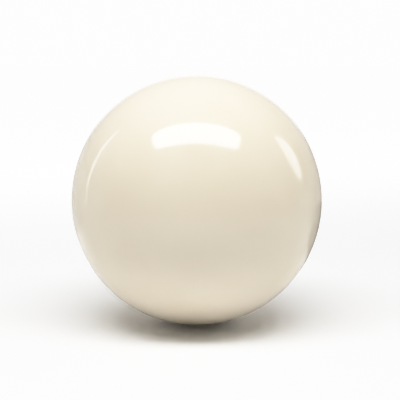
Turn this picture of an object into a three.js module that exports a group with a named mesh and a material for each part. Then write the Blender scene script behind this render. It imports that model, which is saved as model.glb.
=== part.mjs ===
// A pool cue ball: one solid ball of cast phenolic resin, ground round and polished all over.
// It has no core, shell, insert or moving piece, so it is a single mesh.
//
// Millimetres, +Z up. The origin is the centre of the ball, which is also its centre of mass.

import * as THREE from "three";

const INCH = 25.4;
const BALL_DIAMETER = 2.25 * INCH;
const DIAMETER_TOLERANCE = 0.005 * INCH; // how far a match ball may be over or under its diameter
const FACET_DEPTH = DIAMETER_TOLERANCE / 4; // the furthest that a flat facet lies below the true sphere

const RESIN = { name: "ivory_resin", color: 0xe2d6c1, roughness: 0.1, metalness: 0 };

// The ball is an icosahedron whose edges are cut into equal steps, with every corner pushed out to the
// sphere. This is the number of steps that keeps its facets within a depth below the sphere.
function stepsPerEdge(radius, depth) {
  // Lengths on an icosahedron whose corners lie on a sphere of radius 1.
  const edge = 1 / Math.sin((2 * Math.PI) / 5);
  const cornerToFaceCentre = edge / Math.sqrt(3);
  const faceCentreHeight = Math.sqrt(1 - cornerToFaceCentre ** 2);

  // The push outwards stretches the facets most at the centre of a face. With one step per edge, such a
  // facet's corners would be this angle from its centre, and with more steps that share of it.
  const widestAngle = cornerToFaceCentre / faceCentreHeight;
  const allowedAngle = Math.acos(1 - depth / radius);

  // An even number puts corners on the X, Y and Z axes, so the ball is its full diameter along each.
  return 2 * Math.ceil(widestAngle / allowedAngle / 2);
}

function makeBall() {
  const radius = BALL_DIAMETER / 2;
  const cuts = stepsPerEdge(radius, FACET_DEPTH) - 1;
  const ball = new THREE.Mesh(
    new THREE.IcosahedronGeometry(radius, cuts),
    new THREE.MeshStandardMaterial(RESIN),
  );
  ball.name = "ball";
  return ball;
}

const cueBall = new THREE.Group();
cueBall.name = "cue_ball";
cueBall.add(makeBall());

export default cueBall;
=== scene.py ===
"""A cue ball on a white floor, under a wide soft box, with a strip light behind it on each side.

Metres, +Z up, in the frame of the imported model.
"""
from math import atan, copysign, cos, pi, radians, sin, tan

import bmesh
import bpy
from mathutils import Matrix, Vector


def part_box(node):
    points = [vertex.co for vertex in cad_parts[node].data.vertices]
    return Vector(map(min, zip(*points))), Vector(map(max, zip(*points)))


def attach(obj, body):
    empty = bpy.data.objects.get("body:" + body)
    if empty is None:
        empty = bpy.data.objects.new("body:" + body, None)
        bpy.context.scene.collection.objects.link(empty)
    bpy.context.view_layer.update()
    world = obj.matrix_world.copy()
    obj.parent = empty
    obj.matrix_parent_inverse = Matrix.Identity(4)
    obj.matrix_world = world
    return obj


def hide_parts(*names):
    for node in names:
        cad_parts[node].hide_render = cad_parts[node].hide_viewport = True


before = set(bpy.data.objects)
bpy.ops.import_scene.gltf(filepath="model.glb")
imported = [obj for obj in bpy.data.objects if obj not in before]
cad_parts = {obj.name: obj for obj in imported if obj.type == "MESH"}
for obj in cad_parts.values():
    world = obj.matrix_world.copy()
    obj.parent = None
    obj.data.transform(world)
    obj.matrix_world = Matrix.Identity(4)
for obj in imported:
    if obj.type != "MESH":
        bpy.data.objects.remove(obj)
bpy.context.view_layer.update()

MM = 0.001

# The ball, as the frame has it.
LOWEST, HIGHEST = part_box("ball")
CENTRE = (LOWEST + HIGHEST) / 2
RADIUS = (HIGHEST.z - LOWEST.z) / 2
SQUARES_PER_EDGE = 80  # along each edge of the cube that the ball's mesh is pushed out from

# The resin. Its colour is linear, and the clouds in it are shares of that colour.
IVORY = (0.76, 0.674, 0.533)
PALE_CLOUD, DARK_CLOUD = (1.012, 1.012, 1.012), (0.992, 0.986, 0.968)
CLOUD_SIZE, SMUDGE_SIZE = 22 * MM, 12 * MM
REFRACTION = 1.5
POLISHED, SMUDGED, SCRATCHED = 0.1, 0.14, 0.07  # roughness, the last one added to either of the others
SCRATCH_WIDTH, SCRATCH_LENGTH, SCRATCH_DEPTH = 0.35 * MM, 16 * MM, 0.0004 * MM
SCRATCH_TURNS = ((0.3, 0.9, 0.2), (1.4, 0.1, 2.0), (2.2, 2.6, 0.7))  # radians, for each way that they run

# Each of these comes in over a span of noise, which itself runs from 0 to 1.
DARK_CLOUD_SPAN = (0.35, 0.65)
SMUDGE_SPAN = (0.5, 0.75)
SCRATCH_SPAN = (0.66, 0.74)

# The camera looks along +Y and a little down.
CAMERA_ELEVATION = 8  # degrees
LENS = 100  # mm
SENSOR = 36  # mm
BALL_SHARE = 0.626  # of the picture's width
BALL_OFF_CENTRE = Vector((-0.75 * MM, 0, 0))  # where the ball's centre is from the middle of the picture

# The film's response is straight up to one brightness, and then rolls off to white at another.
STRAIGHT_TO = 0.6
SHOULDER_POWER = 3
SHOULDER_STEPS = 8
WHITE_AT = STRAIGHT_TO + SHOULDER_POWER * (1 - STRAIGHT_TO)

# The floor's glow is light painted into the floor as emission. It grows from under the front of the ball to
# far behind it, along a line turned to the left.
FLOOR_RADIUS = 3.0
FLOOR_WHITENESS = 0.94
PAINTED_FLOOR_GLOW = 1.1
GLOW_FROM, GLOW_TO = -1 * RADIUS, 12 * RADIUS
GLOW_TURN = 12  # degrees

# How bright the room is, in each direction from the ball.
BEHIND_CAMERA = 0.03
WALL_LEFT = 0.43
WALL_RIGHT = 0.28
WALL_BEHIND_BALL = 0.65
BRIGHT_SPOT = 1.4  # on the wall behind the ball, all of it that the camera sees
CEILING = 0.45

# Where the room turns from one brightness to the next, along one axis of a unit vector from the ball.
LEFT_TO_RIGHT = (-0.2, 0.5)
CEILING_TO_RIGHT = (0, 0.5)
WALLS_TO_CEILING = (sin(radians(15)), sin(radians(45)))
CAMERA_TO_SIDES = (-0.6, 0)
SIDES_TO_BACK = (0.4, 1)
EDGE_OF_BRIGHT_SPOT = (cos(radians(22)), cos(radians(11)))

ROUND_STEPS = 96  # corners in a round outline

# Cycles aims rays at whatever glows. The picture is less noisy when it aims them at the three lights alone.
NOT_AIMED_AT = "NONE"


def on_scene(name, data):
    """A new object that holds data."""
    made = bpy.data.objects.new(name, data)
    bpy.context.scene.collection.objects.link(made)
    return made


def mesh_from(shape, name):
    """The bmesh shape as a mesh. The bmesh is used up."""
    mesh = bpy.data.meshes.new(name)
    shape.to_mesh(mesh)
    shape.free()
    return mesh


def direction(azimuth, elevation):
    """A unit vector from the ball. Azimuth 0 is towards the camera, -Y, and 90 is to its right, +X."""
    round_z, up = radians(azimuth), radians(elevation)
    return Vector((sin(round_z) * cos(up), -cos(round_z) * cos(up), sin(up)))


# ---- Shader nodes


def node(tree, kind, settings=None, **inputs):
    """A new shader node, with some of its settings and inputs. An input is a value, or a socket to link."""
    made = tree.nodes.new("ShaderNode" + kind)
    for name, value in (settings or {}).items():
        setattr(made, name, value)
    for name, value in inputs.items():
        connect(tree, value, made.inputs[name.replace("_", " ")])
    return made


def connect(tree, value, socket):
    """Gives socket a value, or links it to the socket that the value comes out of."""
    if isinstance(value, bpy.types.NodeSocket):
        tree.links.new(value, socket)
    else:
        socket.default_value = value


def ramp(tree, value, start, end, low=0.0, high=1.0):
    """value moved smoothly from the span start to end onto the span low to high, and held inside it."""
    made = node(
        tree,
        "MapRange",
        {"interpolation_type": "SMOOTHSTEP"},
        Value=value,
        From_Min=start,
        From_Max=end,
        To_Min=low,
        To_Max=high,
    )
    return made.outputs["Result"]


def sum_of(tree, first, second):
    made = node(tree, "Math", {"operation": "ADD"})
    connect(tree, first, made.inputs[0])
    connect(tree, second, made.inputs[1])
    return made.outputs[0]


def noise(tree, place, size, detail, distortion):
    """Noise with patches of about that size, in metres."""
    made = node(tree, "TexNoise", Vector=place, Scale=1 / size, Detail=detail, Distortion=distortion)
    return made.outputs["Fac"]


# ---- The ball


def ball_mesh():
    """A cube of small squares pushed out to the sphere, so that there are no poles where faces crowd."""
    shape = bmesh.new()
    bmesh.ops.create_cube(shape, size=2)  # from -1 to 1 each way
    bmesh.ops.subdivide_edges(shape, edges=shape.edges, cuts=SQUARES_PER_EDGE - 1, use_grid_fill=True)
    for vertex in shape.verts:
        # Equal steps along the cube's edges become equal angles round the ball.
        outwards = Vector([tan(along * pi / 4) for along in vertex.co])
        vertex.co = CENTRE + RADIUS * outwards.normalized()
    for face in shape.faces:
        face.smooth = True
    return mesh_from(shape, "cue_ball")


def scratches(tree, place):
    """Fine arcs that polishing and play leave: noise drawn out into lines, with most of it cut away."""
    across, along = 1 / SCRATCH_WIDTH, 1 / SCRATCH_LENGTH
    marks = 0
    for turn in SCRATCH_TURNS:
        stretched = node(tree, "Mapping", Vector=place, Rotation=turn, Scale=(across, along, along))
        lines = node(tree, "TexNoise", Vector=stretched.outputs[0], Scale=1.0, Detail=1.0)
        marks = sum_of(tree, marks, ramp(tree, lines.outputs["Fac"], *SCRATCH_SPAN))
    return marks


def ivory(cloud):
    """The resin's colour in one of its clouds, opaque."""
    red, green, blue = (whole * share for whole, share in zip(IVORY, cloud))
    return red, green, blue, 1


def clouds(tree, place):
    """The resin's colour, a little paler in some places and browner in others, as it set in the mould."""
    patches = noise(tree, place, CLOUD_SIZE, detail=3.0, distortion=0.6)
    darkness = ramp(tree, patches, *DARK_CLOUD_SPAN)
    mixed = node(tree, "MixRGB", Fac=darkness, Color1=ivory(PALE_CLOUD), Color2=ivory(DARK_CLOUD))
    return mixed.outputs["Color"]


def resin():
    """Cast phenolic resin with a high polish, faint clouds, light smudges and the finest of scratches."""
    material = bpy.data.materials.new("ivory_resin")
    material.use_nodes = True
    tree = material.node_tree
    shader = tree.nodes["Principled BSDF"]
    shader.inputs["IOR"].default_value = REFRACTION
    place = node(tree, "TexCoord").outputs["Object"]
    connect(tree, clouds(tree, place), shader.inputs["Base Color"])

    marks = scratches(tree, place)
    patches = noise(tree, place, SMUDGE_SIZE, detail=4.0, distortion=1.0)
    smudges = ramp(tree, patches, *SMUDGE_SPAN, POLISHED, SMUDGED)
    roughness = sum_of(tree, smudges, ramp(tree, marks, 0, 1, 0, SCRATCHED))
    connect(tree, roughness, shader.inputs["Roughness"])
    bump = node(tree, "Bump", {"invert": True}, Height=marks, Distance=SCRATCH_DEPTH, Strength=1.0)
    connect(tree, bump.outputs["Normal"], shader.inputs["Normal"])
    return material


def make_ball():
    ball = on_scene("cue_ball", ball_mesh())
    ball.data.materials.append(resin())
    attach(ball, "root")
    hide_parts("ball")


# ---- The studio


def white_floor_painted_glow():
    """Matt white with a painted pool of light: the floor itself glows, more so further back, though no lamp
    of its own lights it.
    """
    material = bpy.data.materials.new("white_floor_painted_glow")
    material.use_nodes = True
    tree = material.node_tree
    shader = tree.nodes["Principled BSDF"]
    shader.inputs["Base Color"].default_value = (FLOOR_WHITENESS, FLOOR_WHITENESS, FLOOR_WHITENESS, 1)
    shader.inputs["Roughness"].default_value = 1.0
    shader.inputs["Specular IOR Level"].default_value = 0.0
    shader.inputs["Emission Color"].default_value = (1, 1, 1, 1)
    place = node(tree, "SeparateXYZ", Vector=node(tree, "TexCoord").outputs["Object"])
    # Painted light: emission on the floor that stands in for lamps lighting it, growing towards the back.
    painted_glow = ramp(tree, place.outputs["Y"], GLOW_FROM, GLOW_TO, 0, PAINTED_FLOOR_GLOW)
    connect(tree, painted_glow, shader.inputs["Emission Strength"])
    material.cycles.emission_sampling = NOT_AIMED_AT
    return material


def make_floor():
    shape = bmesh.new()
    bmesh.ops.create_circle(shape, cap_ends=True, segments=ROUND_STEPS, radius=FLOOR_RADIUS)
    floor = on_scene("floor", mesh_from(shape, "floor"))
    floor.location = (CENTRE.x, CENTRE.y, LOWEST.z)
    floor.rotation_euler.z = radians(GLOW_TURN)
    floor.data.materials.append(white_floor_painted_glow())


def glowing(name, brightness):
    material = bpy.data.materials.new(name)
    material.use_nodes = True
    tree = material.node_tree
    tree.nodes.clear()
    light = node(tree, "Emission", Strength=brightness)
    connect(tree, light.outputs["Emission"], node(tree, "OutputMaterial").inputs["Surface"])
    return material


def panel(name, place, length, width, brightness, squareness=2.0, bow=0.0, roll=0.0):
    """A flat panel that glows and faces the ball, and that the camera doesn't see.

    place is its azimuth and elevation in degrees and its distance. Its outline runs from an ellipse, at a
    squareness of 2, towards a rectangle with round corners. bow is how far the middle of its length stands
    out sideways from the ends, and roll turns its length from the horizontal, in degrees.
    """
    azimuth, elevation, distance = place
    shape = bmesh.new()
    outline = []
    for step in range(ROUND_STEPS):
        turn = 2 * pi * step / ROUND_STEPS
        along = copysign(abs(cos(turn)) ** (2 / squareness), cos(turn))
        across = copysign(abs(sin(turn)) ** (2 / squareness), sin(turn))
        corner = (along * length / 2, across * width / 2 + bow * (1 - along**2), 0)
        outline.append(shape.verts.new(corner))
    shape.faces.new(outline)
    made = on_scene(name, mesh_from(shape, name))
    made.location = CENTRE + distance * direction(azimuth, elevation)
    towards_ball = CENTRE - made.location
    made.rotation_euler = towards_ball.to_track_quat("-Z", "Y").to_euler()
    made.rotation_euler.rotate_axis("Z", radians(roll))
    made.data.materials.append(glowing(name, brightness))
    made.visible_camera = False
    return made


def make_lights():
    """A soft box over the front of the ball, and a strip behind it on each side."""
    panel("soft_box", (-0.5, 66, 0.22), length=0.28, width=0.077, brightness=11.9, squareness=6)
    panel("left_strip", (-115, 18.5, 0.35), length=0.235, width=0.02, brightness=4.5, bow=-0.005, roll=90)
    panel("right_strip", (107.2, 22.3, 0.35), length=0.175, width=0.08, brightness=4.4, bow=-0.006, roll=90)


def make_painted_reflections():
    """Painted reflections: grey glowing sheets that stand on the floor behind the ball, greyer than the
    white there, to give its edges darker reflections.

    Only the ball's reflections see them.
    """
    # Painted reflections: these sheets glow grey and only the ball's reflections see them, which darkens
    # its edges.
    reflection_sheets = (
        panel("left_painted_reflection", (-143, -2.7, 0.10), length=0.13, width=0.048, brightness=0.8, squareness=8),
        panel("right_painted_reflection", (143, -2.7, 0.10), length=0.13, width=0.048, brightness=0.5, squareness=8),
        panel("low_painted_reflection", (147, -17, 0.06), length=0.08, width=0.022, brightness=0.2, squareness=8),
    )
    for reflection_sheet in reflection_sheets:
        reflection_sheet.visible_diffuse = False
        reflection_sheet.visible_shadow = False
        reflection_sheet.data.materials[0].cycles.emission_sampling = NOT_AIMED_AT


def make_room():
    """Walls that are white behind the ball, brighter on the left than the right, and dark by the camera."""
    world = bpy.data.worlds.new("room")
    world.use_nodes = True
    tree = world.node_tree
    look = node(tree, "SeparateXYZ", Vector=node(tree, "TexCoord").outputs["Generated"])
    right, back, up = look.outputs["X"], look.outputs["Y"], look.outputs["Z"]
    sides = ramp(tree, right, *LEFT_TO_RIGHT, WALL_LEFT, WALL_RIGHT)
    walls = ramp(tree, back, *SIDES_TO_BACK, sides, WALL_BEHIND_BALL)
    ceiling = ramp(tree, right, *CEILING_TO_RIGHT, CEILING, WALL_RIGHT)
    room = ramp(tree, up, *WALLS_TO_CEILING, walls, ceiling)
    all_round = ramp(tree, back, *CAMERA_TO_SIDES, BEHIND_CAMERA, room)
    strength = ramp(tree, back, *EDGE_OF_BRIGHT_SPOT, all_round, BRIGHT_SPOT)
    background = tree.nodes["Background"]
    background.inputs["Color"].default_value = (1, 1, 1, 1)
    connect(tree, strength, background.inputs["Strength"])
    world.cycles.sampling_method = NOT_AIMED_AT
    bpy.context.scene.world = world


def make_camera():
    camera = on_scene("camera", bpy.data.cameras.new("camera"))
    camera.data.lens = LENS
    camera.data.sensor_width = SENSOR
    half_angle_of_ball = atan(BALL_SHARE * SENSOR / 2 / LENS)
    distance = RADIUS / sin(half_angle_of_ball)
    camera.location = CENTRE + distance * direction(0, CAMERA_ELEVATION)
    aim = CENTRE - BALL_OFF_CENTRE
    camera.rotation_euler = (aim - camera.location).to_track_quat("-Z", "Y").to_euler()
    bpy.context.scene.camera = camera


def set_film():
    """A plain response whose highlights roll off smoothly instead of clipping."""
    view = bpy.context.scene.view_settings
    view.view_transform = "Standard"
    view.use_curve_mapping = True
    mapping = view.curve_mapping
    mapping.clip_max_x = WHITE_AT
    curve = mapping.curves[3]  # the one for all three colours
    curve.points[0].location = (0, 0)
    curve.points[1].location = (WHITE_AT, 1)
    for step in range(SHOULDER_STEPS):
        share = step / SHOULDER_STEPS
        seen = STRAIGHT_TO + share * (WHITE_AT - STRAIGHT_TO)
        shown = 1 - (1 - STRAIGHT_TO) * (1 - share) ** SHOULDER_POWER
        curve.points.new(seen, shown)
    mapping.update()


make_camera()
make_ball()
make_floor()
make_lights()
make_painted_reflections()
make_room()
set_film()
